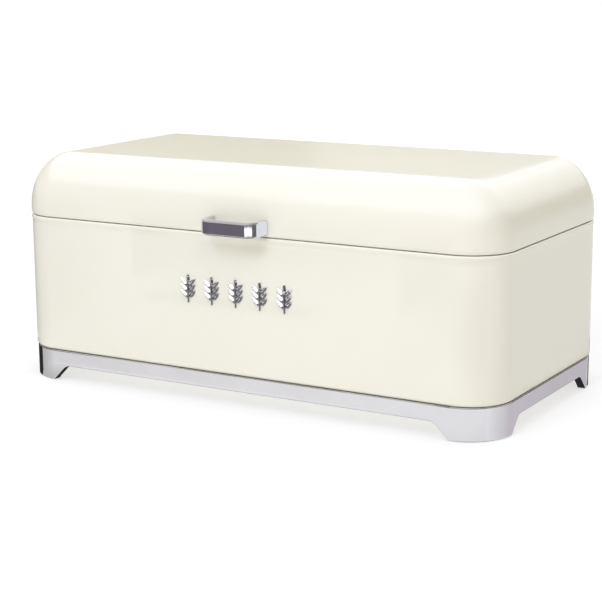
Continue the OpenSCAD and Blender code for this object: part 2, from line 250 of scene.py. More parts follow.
def add_bevel(piece, width):
    """Rounds a piece's sharp edges and keeps its flat faces flat."""
    bevel = piece.modifiers.new("Bevel", "BEVEL")
    bevel.width = width
    bevel.segments = 2
    bevel.limit_method = "ANGLE"
    bevel.angle_limit = math.radians(40)
    bevel.harden_normals = True


def weigh_normals(piece):
    """Keeps the shading of large flat faces flat right up to their eased edges."""
    piece.modifiers.new("Weighted normals", "WEIGHTED_NORMAL").keep_sharp = True


def skin(bm, rings, close_ends=True):
    """Joins each closed ring of vertices to the next one."""
    for one, two in zip(rings, rings[1:]):
        for j in range(len(one)):
            k = (j + 1) % len(one)
            bm.faces.new((one[j], two[j], two[k], one[k]))
    if close_ends:
        bm.faces.new(rings[0])
        bm.faces.new(rings[-1])


def lathe(bm, profile, matrix, steps=32):
    """Turns (radius, height) points about Z, then places them with matrix."""
    rings = []
    for i in range(steps):
        a = 2 * math.pi * i / steps
        ring = []
        for radius, height in profile:
            place = matrix @ Vector((radius * math.cos(a), radius * math.sin(a), height))
            ring.append(bm.verts.new(place))
        rings.append(ring)
    for i, ring in enumerate(rings):
        after = rings[(i + 1) % steps]
        for j in range(len(profile) - 1):
            bm.faces.new((ring[j], after[j], after[j + 1], ring[j + 1]))
    bmesh.ops.remove_doubles(bm, verts=bm.verts, dist=1e-7)


def prism(bm, points, matrix, thickness):
    """Raises a closed 2D outline along Z by thickness, placed with matrix."""
    low = [bm.verts.new(matrix @ Vector((x, y, 0))) for x, y in points]
    high = [bm.verts.new(matrix @ Vector((x, y, thickness))) for x, y in points]
    bm.faces.new(list(reversed(low)))
    bm.faces.new(high)
    for i in range(len(points)):
        k = (i + 1) % len(points)
        bm.faces.new((low[i], low[k], high[k], high[i]))


def ribbon(path, thickness):
    """Closed outline of a strip of sheet whose middle follows path."""
    left, right = [], []
    for i, point in enumerate(path):
        before = Vector(path[max(i - 1, 0)])
        after = Vector(path[min(i + 1, len(path) - 1)])
        along = (after - before).normalized()
        side = Vector((-along.y, along.x)) * thickness / 2
        left.append(tuple(Vector(point) + side))
        right.append(tuple(Vector(point) - side))
    return left + right[::-1]


# ---- Materials ----

def new_material(name):
    material = bpy.data.materials.new(name)
    material.use_nodes = True
    nodes = material.node_tree.nodes
    return material, nodes, material.node_tree.links, nodes["Principled BSDF"]


def noise(nodes, links, scale, detail, coordinates):
    texture = nodes.new("ShaderNodeTexNoise")
    texture.inputs["Scale"].default_value = scale
    texture.inputs["Detail"].default_value = detail
    links.new(coordinates, texture.inputs["Vector"])
    return texture.outputs["Fac"]


def ramp(nodes, links, source, low, high, start=0.3, end=0.7):
    """Maps a grey value to a colour between two ends."""
    made = nodes.new("ShaderNodeValToRGB")
    made.color_ramp.elements[0].position = start
    made.color_ramp.elements[1].position = end
    made.color_ramp.elements[0].color = (*low, 1)
    made.color_ramp.elements[1].color = (*high, 1)
    links.new(source, made.inputs["Fac"])
    return made.outputs["Color"]


def bump(nodes, links, source, distance, strength):
    made = nodes.new("ShaderNodeBump")
    made.inputs["Distance"].default_value = distance
    made.inputs["Strength"].default_value = strength
    links.new(source, made.inputs["Height"])
    return made.outputs["Normal"]


def object_space(nodes):
    return nodes.new("ShaderNodeTexCoord").outputs["Object"]


def grey(value):
    return (value, value, value)


def enamel(name, light, dark):
    """Glossy enamel: an even colour with a faint drift, orange peel and a clear top."""
    material, nodes, links, shader = new_material(name)
    where = object_space(nodes)
    links.new(ramp(nodes, links, noise(nodes, links, 7, 3, where), dark, light),
              shader.inputs["Base Color"])
    links.new(ramp(nodes, links, noise(nodes, links, 55, 4, where), grey(0.29), grey(0.33)),
              shader.inputs["Roughness"])
    peel = bump(nodes, links, noise(nodes, links, 420, 2, where), 0.02 * MM, 0.35)
    links.new(peel, shader.inputs["Normal"])
    shader.inputs["IOR"].default_value = 1.5
    shader.inputs["Coat Weight"].default_value = 0.25
    shader.inputs["Coat Roughness"].default_value = 0.12
    return material


def chrome(name):
    """Bright plate: a mirror with faint polishing haze and long, shallow waves."""
    material, nodes, links, shader = new_material(name)
    where = object_space(nodes)
    links.new(ramp(nodes, links, noise(nodes, links, 30, 3, where),
                   (0.68, 0.675, 0.695), (0.72, 0.715, 0.735)), shader.inputs["Base Color"])
    links.new(ramp(nodes, links, noise(nodes, links, 160, 5, where), grey(0.04), grey(0.1)),
              shader.inputs["Roughness"])
    links.new(bump(nodes, links, noise(nodes, links, 45, 2, where), 0.05 * MM, 0.12),
              shader.inputs["Normal"])
    shader.inputs["Metallic"].default_value = 1
    return material


def zinc(name):
    """Zinc-plated steel: satin, with fine drawn lines along X."""
    material, nodes, links, shader = new_material(name)
    stretch = nodes.new("ShaderNodeMapping")
    stretch.inputs["Scale"].default_value = (1, 14, 14)
    links.new(object_space(nodes), stretch.inputs["Vector"])
    lines = noise(nodes, links, 260, 4, stretch.outputs["Vector"])
    links.new(ramp(nodes, links, lines, (0.52, 0.53, 0.54), (0.66, 0.66, 0.66)),
              shader.inputs["Base Color"])
    links.new(ramp(nodes, links, lines, grey(0.3), grey(0.44)), shader.inputs["Roughness"])
    links.new(bump(nodes, links, lines, 0.02 * MM, 0.3), shader.inputs["Normal"])
    shader.inputs["Metallic"].default_value = 1
    return material


def rubber(name):
    """Matt grey rubber with a fine moulded grain."""
    material, nodes, links, shader = new_material(name)
    grain = noise(nodes, links, 900, 3, object_space(nodes))
    links.new(ramp(nodes, links, grain, grey(0.2), grey(0.3)), shader.inputs["Base Color"])
    links.new(ramp(nodes, links, grain, grey(0.55), grey(0.75)), shader.inputs["Roughness"])
    links.new(bump(nodes, links, grain, 0.05 * MM, 0.5), shader.inputs["Normal"])
    return material


CREAM = enamel("cream_enamel", (0.84, 0.815, 0.705), (0.815, 0.79, 0.68))
CHROME = chrome("chrome_plate")
ZINC = zinc("zinc_steel")
RUBBER = rubber("grey_rubber")


# ---- Lid ----

def lid_section(_run):
    base = lid_low.z
    points = arc((CORNER_R, SKIRT_Z), CORNER_R, CROWN_RISE, 90, 180, 40)
    points += arc((EDGE_IN, base + EDGE_RISE), EDGE_IN, EDGE_RISE, 180, 270, 8)
    points += arc((EDGE_IN, base + HEM_ROLL), HEM_W - EDGE_IN, HEM_ROLL, 280, 360, 6)
    points += arc((LID_T, base + HEM_ROLL), HEM_W - LID_T, HEM_H - HEM_ROLL, 10, 90, 6)
    points += arc((CORNER_R, SKIRT_Z), CORNER_R - LID_T, CROWN_RISE - LID_T, 180, 90, 40)
    return points


def make_lid():
    bm = swept_shell(lid_section, closed=False)
    fill_middles(bm)
    add_piece("lid_enamel", bm, CREAM, "lid", "lid_shell")


# ---- Body ----

def body_section(_run):
    top = body_high.z
    low = body_low.z
    bead_low = top - BEAD_H
    bend = (WALL_INSET + BOTTOM_R, low + BOTTOM_R)
    crest = (BEAD_R, top - BEAD_R)
    inner = WALL_INSET + BODY_T
    step = 0.8 * MM
    points = [(BOTTOM_FLANGE, low)]
    points += arc(bend, BOTTOM_R, BOTTOM_R, 270, 180, 10)
    points += [(WALL_INSET, low + 12 * MM), (WALL_INSET, bead_low - 4 * MM)]
    points += [(WALL_INSET, bead_low), (WALL_INSET * 0.25, bead_low + step * 0.6)]
    points += [(0, bead_low + step * 1.2)]
    points += arc(crest, BEAD_R, BEAD_R, 180, 90, 8)
    points += arc(crest, BEAD_W - BEAD_R, BEAD_R, 80, 0, 7)
    points += [(BEAD_W, bead_low + step), (inner, bead_low)]
    points += arc(bend, BOTTOM_R - BODY_T, BOTTOM_R - BODY_T, 180, 270, 8)
    points += [(BOTTOM_FLANGE, low + BODY_T)]
    return points


def make_body():
    add_piece("body_enamel", swept_shell(body_section), CREAM, "box", "body_shell")


def pan_section(_run):
    low = pan_low.z
    bend = (WALL_INSET + BOTTOM_R, low - BODY_T + BOTTOM_R)
    outer_r = BOTTOM_R - BODY_T
    inner = WALL_INSET + BODY_T
    points = [(CORNER_R, low)]
    points += arc(bend, outer_r, outer_r, 270, 180, 6)
    points += [(inner, pan_high.z - 0.3 * MM), (inner + BODY_T / 2, pan_high.z)]
    points += [(inner + BODY_T, pan_high.z - 0.3 * MM)]
    points += arc(bend, outer_r - BODY_T, outer_r - BODY_T, 180, 270, 6)
    points += [(CORNER_R, low + BODY_T)]
    return points


def make_floor_pan():
    bm = swept_shell(pan_section, closed=False)
    fill_middles(bm)
    add_piece("floor_enamel", bm, CREAM, "box", "floor_pan")


def collar_section(_run):
    inner = WALL_INSET + BODY_T
    ledge = body_high.z - BEAD_H - 1.1 * MM
    upright = 6 * MM
    bend = 1.2 * MM
    points = [(inner, collar_low.z), (inner + BODY_T, collar_low.z)]
    points += [(inner + BODY_T, ledge)]
    points += arc((upright + BODY_T - bend, ledge + bend), bend, bend, 270, 360, 4)
    points += arc((upright + BODY_T / 2, collar_high.z - BODY_T / 2),
                  BODY_T / 2, BODY_T / 2, 0, 180, 6)
    points += [(upright, ledge + bend), (upright - 0.4 * MM, ledge + BODY_T)]
    points += [(inner, ledge + BODY_T)]
    return points


def make_collar():
    add_piece("collar_enamel", swept_shell(collar_section), CREAM, "box", "rim_collar")


# ---- Plinth ----

def foot_height(run):
    """Height of the plinth's lower edge at a distance past the end of a corner."""
    base = plinth_low.z
    rise = ARCH_Z - base
    past = run + FOOT_END
    tangent = ARCH_FILLET * math.tan(math.radians(22.5))
    start = rise - tangent / math.sqrt(2)
    end = rise + tangent
    if past <= 0:
        return base
    if past < start:
        return base + past
    if past < end:
        return ARCH_Z - ARCH_FILLET + math.sqrt(ARCH_FILLET ** 2 - (end - past) ** 2)
    return ARCH_Z


def plinth_section(run):
    top = plinth_high.z
    low = foot_height(run)
    step = 0.2 * MM
    lean = (foot_height(run + step) - foot_height(run - step)) / (2 * step)
    web = 1.8 * MM
    lower = low + web * math.sqrt(1 + lean * lean)
    wall = 2 * MM
    edge = 7 * MM
    outer_r = 0.9 * MM
    inner_r = 0.4 * MM
    points = arc((outer_r, top - outer_r), outer_r, outer_r, 90, 180, 5)
    points += arc((outer_r, low + outer_r), outer_r, outer_r, 180, 270, 5)
    points += arc((edge - inner_r, low + inner_r), inner_r, inner_r, 270, 360, 3)
    points += [(edge, lower), (wall + inner_r, lower), (wall, lower + inner_r)]
    points += [(wall, top - web - inner_r), (wall + inner_r, top - web)]
    points += [(edge, top - web), (edge, top)]
    return points


def plinth_run(half):
    """Marks along a side, close together over the slope and fillet of each foot."""
    fine = 0.6 * MM
    curved = [fine * i for i in range(30)]
    ends = [-half + mark for mark in curved]
    middle = half - 20 * MM
    return ends + [-middle, -middle / 3, middle / 3, middle] + [-x for x in ends[::-1]][:-1]


def plinth_corner():
    """Corner angles, close together at both ends, where a foot's slope may start."""
    fine, count, steps = 0.5, 16, 24
    edge = fine * count
    corner = [fine * i for i in range(count)]
    corner += [edge + (90 - 2 * edge) * i / steps for i in range(steps)]
    return corner + [90 - fine * i for i in range(count, -1, -1)]


def make_plinth():
    width, depth = WIDTH - 2 * WALL_INSET, DEPTH - 2 * WALL_INSET
    bm = bmesh.new()
    stations = outline(width, depth, PLINTH_R, plinth_corner(), plinth_run)
    sweep(bm, stations, plinth_section, closed=True)
    add_screw_bosses(bm)
    weigh_normals(add_piece("plinth_chrome", bm, CHROME, "box", "plinth", 30))


def add_screw_bosses(bm):
    """Hollow bosses under the plinth's top, each tied to the wall by a rib."""
    boss_r = 3.8 * MM
    boss_z = 15.2 * MM
    ease = 0.4 * MM
    height = plinth_high.z - boss_z
    rib_half, rib_l = 1 * MM, 6.6 * MM
    rib = [(-rib_half, 0), (rib_half, 0), (rib_half, rib_l), (-rib_half, rib_l)]
    for x, y in screw_places():
        spot = Matrix.Translation((x, y, boss_z))
        lathe(bm, [(SHANK_R, height), (SHANK_R, 0), (boss_r - ease, 0),
                   (boss_r, ease), (boss_r, height), (SHANK_R, height)], spot)
        facing = Matrix.Rotation(0 if y > MID_Y else math.pi, 4, "Z")
        prism(bm, rib, spot @ facing @ Matrix.Translation((0, 0, ease / 2)), height - ease)


def screw_places():
    low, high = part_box("plinth_screws")
    return [(x, y) for x in (low.x + SCREW_HEAD_R, high.x - SCREW_HEAD_R)
            for y in (low.y + SCREW_HEAD_R, high.y - SCREW_HEAD_R)]


def make_plinth_screws():
    """Pan heads with a round recess, on the pan, and their shanks."""
    low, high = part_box("plinth_screws")
    seat = pan_low.z + BODY_T
    head_r = SCREW_HEAD_R
    head_h = high.z - seat
    rim_h = 0.3 * MM
    tip = low.z - seat
    bm = bmesh.new()
    profile = [(0, head_h * 0.55), (0.7 * MM, head_h * 0.55), (0.9 * MM, head_h)]
    profile += arc((head_r * 0.45, rim_h), head_r * 0.55, head_h - rim_h, 90, 0, 8)
    profile += [(head_r, 0), (SHANK_R, 0), (SHANK_R, tip + 1 * MM), (0, tip)]
    for x, y in screw_places():
        lathe(bm, profile, Matrix.Translation((x, y, seat)), 24)
    add_piece("plinth_screw_heads", bm, ZINC, "box", "plinth_screws", 30)


def make_foot_strip(name, sx, sy):
    """A curved rubber strip under the foot on the sx, sy corner."""
    centre = Vector((sx * (WIDTH / 2 - WALL_INSET - PLINTH_R),
                     MID_Y + sy * (DEPTH / 2 - WALL_INSET - PLINTH_R), 0))
    middle_r = PLINTH_R - 3.5 * MM
    half_w = 1.9 * MM
    top = plinth_low.z + 0.1 * MM
    soft = 0.25 * MM
    section = [(-half_w, top), (-half_w, soft), (-half_w + soft, 0)]
    section += [(half_w - soft, 0), (half_w, soft), (half_w, top)]
    start, turn, steps = 12, 66, 24
    bm = bmesh.new()
    rings = []
    for i in range(steps + 1):
        a = math.radians(start + turn * i / steps)
        direction = Vector((sx * math.cos(a), sy * math.sin(a), 0))
        rings.append([bm.verts.new(centre + direction * (middle_r + u) + Vector((0, 0, z)))
                      for u, z in section])
    skin(bm, rings)
    add_piece("foot_strip_" + name, bm, RUBBER, "box", "foot_pad_" + name)


def make_foot_strips():
    for name_y, sy in (("front", -1), ("rear", 1)):
        for name_x, sx in (("left", -1), ("right", 1)):
            make_foot_strip(f"{name_y}_{name_x}", sx, sy)


# ---- Handle ----

def bow_path(half_w, front, root, bend_r):
    """(x, y, outward x, outward y) along the bow's outer face, left leg to right leg."""
    steps = 20
    left = [(-half_w, root, -1, 0)]
    for i in range(steps + 1):
        a = math.radians(180 + 90 * i / steps)
        left.append((-half_w + bend_r + bend_r * math.cos(a),
                     front + bend_r + bend_r * math.sin(a), math.cos(a), math.sin(a)))
    return left + [(-x, y, -nx, ny) for x, y, nx, ny in left[::-1]]


def make_handle():
    """A cast bow: a bevelled section swept along a leg, the front and a leg."""
    low, high = handle_low.z, handle_high.z
    mid_x = (handle_low.x + handle_high.x) / 2
    half_w = (handle_high.x - handle_low.x) / 2
    section = eased([(HANDLE_T, high), (1 * MM, high), (0, high - 1.3 * MM),
                     (0, low + 1 * MM), (0.8 * MM, low), (HANDLE_T, low)], 0.22 * MM)
    root = lid_low.y + 0.6 * MM
    bm = bmesh.new()
    rings = []
    for x, y, nx, ny in bow_path(half_w, handle_low.y, root, HANDLE_BEND):
        rings.append([bm.verts.new((mid_x + x - nx * inset, y - ny * inset, z))
                      for inset, z in section])
    skin(bm, rings)
    add_studs(bm)
    weigh_normals(add_piece("bow_handle", bm, CHROME, "lid", "handle", 20))


def add_studs(bm):
    length = 5 * MM
    ease = 0.4 * MM
    profile = [(0, 0), (STUD_R, 0), (STUD_R, length - ease), (STUD_R - ease, length), (0, length)]
    for x in STUD_XS:
        lathe(bm, profile, Matrix.Translation((x, lid_low.y, STUD_Z)) @ FACE_BACK, 24)


def make_washers():
    """Washers on the handle's studs, inside the lid."""
    low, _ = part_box("handle_washers")
    bore, rim, thick, ease = 1.6 * MM, 3.3 * MM, 0.5 * MM, 0.1 * MM
    profile = [(bore, 0), (rim - ease, 0), (rim, ease), (rim, thick - ease),
               (rim - ease, thick), (bore, thick), (bore, 0)]
    bm = bmesh.new()
    for x in STUD_XS:
        lathe(bm, profile, Matrix.Translation((x, low.y, STUD_Z)) @ FACE_BACK)
    add_piece("handle_washer_pair", bm, ZINC, "lid", "handle_washers", 30)


def make_dome_nuts():
    """Six-sided nuts with a closed dome, on the washers."""
    low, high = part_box("handle_nuts")
    hex_h, dome_r = 2.4 * MM, 2.5 * MM
    corner = 2.75 * MM / math.cos(math.radians(30))
    angles = [math.radians(60 * i + 30) for i in range(6)]
    corners = [(corner * math.cos(a), corner * math.sin(a)) for a in angles]
    dome = [(dome_r, hex_h - 0.2 * MM)]
    dome += arc((0, hex_h), dome_r, high.y - low.y - hex_h, 0, 90, 10)
    bm = bmesh.new()
    for x in STUD_XS:
        seat = Matrix.Translation((x, low.y, STUD_Z)) @ FACE_BACK
        prism(bm, corners, seat, hex_h)
        lathe(bm, dome, seat)
    nuts = add_piece("handle_dome_nuts", bm, CHROME, "lid", "handle_nuts", 30)
    add_bevel(nuts, 0.25 * MM)


# ---- Wheat ears ----

def grain_half_width(along):
    """Half a grain's width at a distance from its root: two arcs that meet in points."""
    bend = (GRAIN_L * GRAIN_L / 4 + GRAIN_W * GRAIN_W / 4) / GRAIN_W
    reach = math.sqrt(max(bend * bend - (along - GRAIN_L / 2) ** 2, 0))
    return max(reach - bend + GRAIN_W / 2, 0)


def add_grain(bm, root, tilt):
    """A pointed grain with a ridge, lying on the wall: its plane is X and Z."""
    steps = 14
    rows = []
    wall = ear_high.y
    for i in range(steps + 1):
        along = GRAIN_L * i / steps
        half = grain_half_width(along)
        ridge = EAR_T * math.sqrt(half / (GRAIN_W / 2))
        shoulder = min(0.5 * MM, ridge)
        row = []
        for across, out in ((-half, 0), (-half, shoulder), (-half * 0.12, ridge),
                            (half * 0.12, ridge), (half, shoulder), (half, 0)):
            x = root[0] + across * math.cos(tilt) + along * math.sin(tilt)
            z = root[1] - across * math.sin(tilt) + along * math.cos(tilt)
            row.append(bm.verts.new((x, wall - out, z)))
        rows.append(row)
    skin(bm, rows, close_ends=False)
    bmesh.ops.remove_doubles(bm, verts=bm.verts, dist=1e-6)


def add_stem(bm, x, low_z, high_z):
    """A ridged stem on the wall, from one height to another."""
    half, edge, ridge = 0.85 * MM, 0.5 * MM, 1.3 * MM
    section = [(-half, 0), (-half, edge), (0, ridge), (half, edge), (half, 0)]
    skin(bm, [[bm.verts.new((x + u, ear_high.y - out, z)) for u, out in section]
              for z in (low_z, high_z)])


def make_wheat_ears():
    """Ears with a grain at the tip, rows of paired grains and a stem."""
    for index in range(1, 6):
        low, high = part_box(f"wheat_ear_{index}")
        mid = (low.x + high.x) / 2
        tip = high.z - GRAIN_L
        bm = bmesh.new()
        add_grain(bm, (mid, tip), 0)
        for row in range(GRAIN_ROWS):
            root = tip - 1 * MM - row * GRAIN_PITCH
            for side in (-1, 1):
                add_grain(bm, (mid, root), side * GRAIN_TILT)
        add_stem(bm, mid, low.z, tip + 2 * MM)
        add_piece(f"wheat_ornament_{index}", bm, CHROME, "box", f"wheat_ear_{index}",
                  25)


# ---- Hinges ----

def crown_inset(z):
    rise = max(z - SKIRT_Z, 0) / CROWN_RISE
    return CORNER_R * (1 - math.sqrt(1 - rise * rise))


def across_x(bm, points, x, length):
    """Raises a (y, z) outline along X from x - length / 2."""
    turn = Matrix(((0, 0, 1, 0), (1, 0, 0, 0), (0, 1, 0, 0), (0, 0, 0, 1)))
    prism(bm, points, Matrix.Translation((x - length / 2, 0, 0)) @ turn, length)


def curl(start, end):
    """Part of a circle about the pin, for the rolled end of a leaf."""
    return arc((hinge_axis.y, hinge_axis.z), CURL_R, CURL_R, start, end, 24)


def make_body_leaf(name, x, width):
    """A plate on the wall whose middle knuckle is rolled round the pin."""
    low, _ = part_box("hinge_body_leaf_" + name)
    face = low.y + KNUCKLE_T / 2
    under = body_high.z - BEAD_H - 0.6 * MM
    bm = bmesh.new()
    across_x(bm, ribbon([(face, low.z), (face, under - 1 * MM)], KNUCKLE_T), x, width)
    neck = [(face, under - 3 * MM), (face, under - 1.6 * MM),
            (face + 0.5 * MM, under - 0.2 * MM), (hinge_axis.y - CURL_R, hinge_axis.z - 1 * MM)]
    across_x(bm, ribbon(neck + curl(180, -120), KNUCKLE_T), x, KNUCKLE_W)
    leaf = add_piece("body_leaf_" + name, bm, ZINC, "box", "hinge_body_leaf_" + name,
                     30)
    add_bevel(leaf, LEAF_EASE)


def make_lid_leaf(name, x, width):
    """A plate that follows the crown, with two outer knuckles and their stop tongues."""
    _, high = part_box("hinge_lid_leaf_" + name)
    knuckle_w = (width - KNUCKLE_W) / 2 - KNUCKLE_GAP
    rear = lid_high.y + LID_LEAF_T / 2
    start = lid_low.z + 3.5 * MM
    climb = [start + (high.z - start) * i / 14 for i in range(15)]
    bm = bmesh.new()
    across_x(bm, ribbon([(rear - crown_inset(z), z) for z in climb], LID_LEAF_T), x, width)
    neck = [(rear, start + 2 * MM), (rear, start),
            (hinge_axis.y - CURL_R, hinge_axis.z + 1 * MM)]
    root_y, top_z = hinge_axis.y + 1.6 * MM, hinge_axis.z - 0.2 * MM
    low_z = top_z - KNUCKLE_T
    tongue = [(root_y, low_z), (high.y, low_z), (high.y, top_z), (root_y, top_z)]
    for end in (-1, 1):
        mid = x + end * (width - knuckle_w) / 2
        across_x(bm, ribbon(neck + curl(180, 480), KNUCKLE_T), mid, knuckle_w)
        across_x(bm, tongue, mid, knuckle_w)
    leaf = add_piece("lid_leaf_" + name, bm, ZINC, "lid", "hinge_lid_leaf_" + name,
                     30)
    add_bevel(leaf, LEAF_EASE)


def make_pin(name, x):
    """A hinge pin with a low dome on each end."""
    low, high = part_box("hinge_pin_" + name)
    half = (high.x - low.x) / 2
    head_r, head_h, shank_r = 1.9 * MM, 0.8 * MM, 1.25 * MM
    head = [(0, -half)] + arc((0, -half + head_h), head_r, head_h, 270, 360, 6)
    head += [(shank_r, -half + head_h + 0.05 * MM)]
    tail = [(r, -h) for r, h in head[::-1]]
    along_x = Matrix.Rotation(math.radians(90), 4, "Y")
    bm = bmesh.new()
    lathe(bm, head + tail, Matrix.Translation((x, hinge_axis.y, hinge_axis.z)) @ along_x, 24)
    add_piece("hinge_pin_dome_" + name, bm, CHROME, "box", "hinge_pin_" + name,
              30)


def make_hinges():
    for name in ("left", "right"):
        low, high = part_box("hinge_body_leaf_" + name)
        x = (low.x + high.x) / 2
        width = high.x - low.x
        make_body_leaf(name, x, width)
        make_lid_leaf(name, x, width)
        make_pin(name, x)


def rivet(bm, spot, inner, outer):
    """Rivet along Y through the sheets between inner and outer, with domed heads."""
    head_r, head_h, shank_r, rim_h = 2.3 * MM, 0.9 * MM, 1.2 * MM, 0.2 * MM
    profile = [(0, inner - head_h)]
    profile += arc((0, inner - rim_h), head_r, head_h - rim_h, 275, 360, 6)
    profile += [(head_r, inner), (shank_r, inner), (shank_r, outer), (head_r, outer)]
    profile += arc((0, outer + rim_h), head_r, head_h - rim_h, 0, 85, 6)
    profile += [(0, outer + head_h)]
    lathe(bm, profile, spot @ FACE_BACK, 28)


def make_rivets():
    """Rivets of the body leaves, and those of the lid leaves, square to the crown."""
    body_rivets, lid_rivets = bmesh.new(), bmesh.new()
    low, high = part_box("hinge_body_rivets")
    body_rivet_z = (low.z + high.z) / 2
    rise = (LID_RIVET_Z - SKIRT_Z) / CROWN_RISE
    lean = math.atan(CORNER_R / CROWN_RISE * rise / math.sqrt(1 - rise * rise))
    square = Matrix.Rotation(lean, 4, "X")
    lid_rivet_y = lid_high.y - crown_inset(LID_RIVET_Z)
    for name in ("left", "right"):
        low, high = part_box("hinge_body_leaf_" + name)
        for at in (-RIVET_SPREAD, RIVET_SPREAD):
            x = (low.x + high.x) / 2 + at
            spot = Matrix.Translation((x, low.y, body_rivet_z))
            rivet(body_rivets, spot, -BODY_T, KNUCKLE_T)
            spot = Matrix.Translation((x, lid_rivet_y, LID_RIVET_Z))
            rivet(lid_rivets, spot @ square, -LID_T, LID_LEAF_T)
    add_piece("body_rivet_heads", body_rivets, ZINC, "box", "hinge_body_rivets",
              30)
    add_piece("lid_rivet_heads", lid_rivets, ZINC, "lid", "hinge_lid_rivets",
              30)


def make_bumpers():
    """The silencer blocks take their CAD shape, with a rubber finish and soft edges."""
    bm = bmesh.new()
    bm.from_mesh(frame["nodes"]["lid_bumpers"].data)
    blocks = add_piece("silencer_blocks", bm, RUBBER, "box", "lid_bumpers", 30)
    add_bevel(blocks, 0.4 * MM)


# ---- Stage ----

FLOOR_GREY = 0.42
FLOOR_GLOW_NEAR = 0.63
FLOOR_GLOW_FAR = 0.72
FLOOR_GLOW_REACH = (0.35, 0.95)
FLOOR_HALF = 30
# The point that the soft boxes look at
AIM = Vector((0, 0, 100 * MM))
WALL_LOW = (0.70, 0.68, 0.49)
WALL_HIGH = (0.70, 0.70, 0.72)
RIGHT_WALL = grey(0.3)
# Name, azimuth (0 in front, 90 on the right), elevation, distance, size, power, colour
SOFT_BOXES = (
    ("front", 0, 40, 2.2, (0.9, 0.7), 13, (0.75, 0.76, 1)),
    ("front_left", -45, 30, 2.0, (1.2, 1.2), 1.7, (0.3, 0.6, 1)),
    ("front_right", 45, 52, 2.0, (1.2, 1.2), 9.8, (1, 0.98, 0.94)),
    ("back", 200, 14, 2.2, (1.2, 1.0), 4.5, (0.8, 0.85, 1)),
)
# The sheen box is one that only the enamel and the ears see, as a highlight.
SHEEN = ("sheen", 180, 83, 1.3, (4, 4), 110, (0.9, 0.9, 1))
# Heights of the level cards: two just over the floor, one under the ears.
LEVEL_Z = 0.4 * MM
EDGE_Z = 0.6 * MM
EARS_Z = ear_low.z - 2 * MM
# Cards stand for the room that the chrome and the enamel reflect. Name, x range, y
# range, z range, colour and, for a card that fades, the colour at the other end of
# its longer side. Distances are in metres, from the bin's middle.
CARDS = (
    # A dim room round the handle, and a bright line that its front face reflects
    ("card_handle_front", (-0.10, 0.135), (-0.252, -0.252), (0.085, 0.14), (0.19, 0.17, 0.21)),
    ("card_handle_left", (-0.10, -0.10), (-0.252, -0.115), (0.09, 0.14), (0.17, 0.15, 0.19)),
    ("card_handle_right", (0.135, 0.135), (-0.252, -0.11), (0.085, 0.14), (0.19, 0.18, 0.2)),
    ("card_handle_bright", (0.022, 0.086), (-0.245, -0.228), (0.1163, 0.1237), (2, 2, 2)),
    ("card_handle_bright_side", (0.086, 0.127), (-0.228, -0.185), (0.1163, 0.1237), (2, 2, 2)),
    # Dim tones on the left and before the ears, and the far wall behind on the left
    ("card_left", (-0.32, -0.32), (-0.35, 0.4), (0, 0.16), (0.12, 0.12, 0.1)),
    ("card_ears", (0.04, 0.32), (-0.36, -0.16), (0.015, 0.088), (0.1, 0.1, 0.11)),
    ("card_back_left", (-2.6, -1.15), (2, 2), (0.1, 1.4), (0.52, 0.48, 0.28)),
    # The far wall behind on the right, for the enamel only
    ("card_back_right", (-0.3, 1.4), (1.9, 1.9), (0.55, 1.25), (1.8, 1.8, 1.7)),
    # Small cards close to the handle's right leg and the ears, and painted shade at the plinth's
    # ends
    ("card_handle_leg", (0.0292, 0.0361), (-0.1076, -0.1204), (0.13, 0.152), (1.03, 1.05, 1.07)),
    ("card_ears_low", (-0.09, 0.06), (-0.142, -0.1085), (EARS_Z, EARS_Z), (0.26, 0.26, 0.27)),
    # Painted shade: the shaded floor under the bin's rear right foot, as the foot's end reflects it
    ("card_edge_right", (0.188, 0.2125), (0.12, 0.12), (0, 0.03), (0.12, 0.11, 0.12)),
    ("card_edge_low", (0.188, 0.2104), (0.082, 0.12), (EDGE_Z, EDGE_Z), (0.12, 0.11, 0.12)),
    # The floor along the plinth's front
    ("card_front_low", (-0.26, 0.10), (-0.152, -0.24), (LEVEL_Z, LEVEL_Z), (0.93, 0.915, 0.92),
     (1.05, 1.04, 1.04)),
)
DARK = grey(0.03)
# Cards beside the plinth's ends that fade along Y: x, reach over the floor to x,
# y range, and the colours at the two ends of that range. Each stands as high as
# the plinth and also lies on the floor.
FADE_H = 26 * MM
FADES = (
    ("dark_left", -0.216, -0.190, (-0.074, -0.1015), DARK, DARK),
    ("fade_left", -0.216, -0.178, (-0.1015, -0.15), grey(0.60), grey(0.95)),
    # Painted shade: the shaded floor on the bin's right, as the plinth's right end reflects it,
    # lightening towards the front corner
    ("even_right", 0.214, 0.2105, (0.10, -0.072), (0.65, 0.61, 0.65), (0.71, 0.67, 0.71)),
    ("fade_right", 0.214, 0.2085, (-0.072, -0.10), (0.72, 0.68, 0.72), (1.04, 1.05, 1.055)),
)


def add_stage_plane(name, corners, material):
    mesh = bpy.data.meshes.new(name)
    mesh.from_pydata(corners, [], [range(len(corners))])
    plane = bpy.data.objects.new(name, mesh)
    bpy.context.scene.collection.objects.link(plane)
    mesh.materials.append(material)
    return plane


def add_floor():
    material, nodes, links, shader = new_material("floor")
    shader.inputs["Base Color"].default_value = (FLOOR_GREY, FLOOR_GREY, FLOOR_GREY, 1)
    shader.inputs["Roughness"].default_value = 0.8
    shader.inputs["Emission Strength"].default_value = 1
    distance = nodes.new("ShaderNodeVectorMath")
    distance.operation = "LENGTH"
    links.new(object_space(nodes), distance.inputs[0])
    links.new(ramp(nodes, links, distance.outputs["Value"], grey(FLOOR_GLOW_NEAR),
                   grey(FLOOR_GLOW_FAR), *FLOOR_GLOW_REACH), shader.inputs["Emission Color"])
    corners = [(FLOOR_HALF * x, FLOOR_HALF * y, 0) for x, y in ((-1, -1), (1, -1), (1, 1), (-1, 1))]
    add_stage_plane("floor", corners, material)


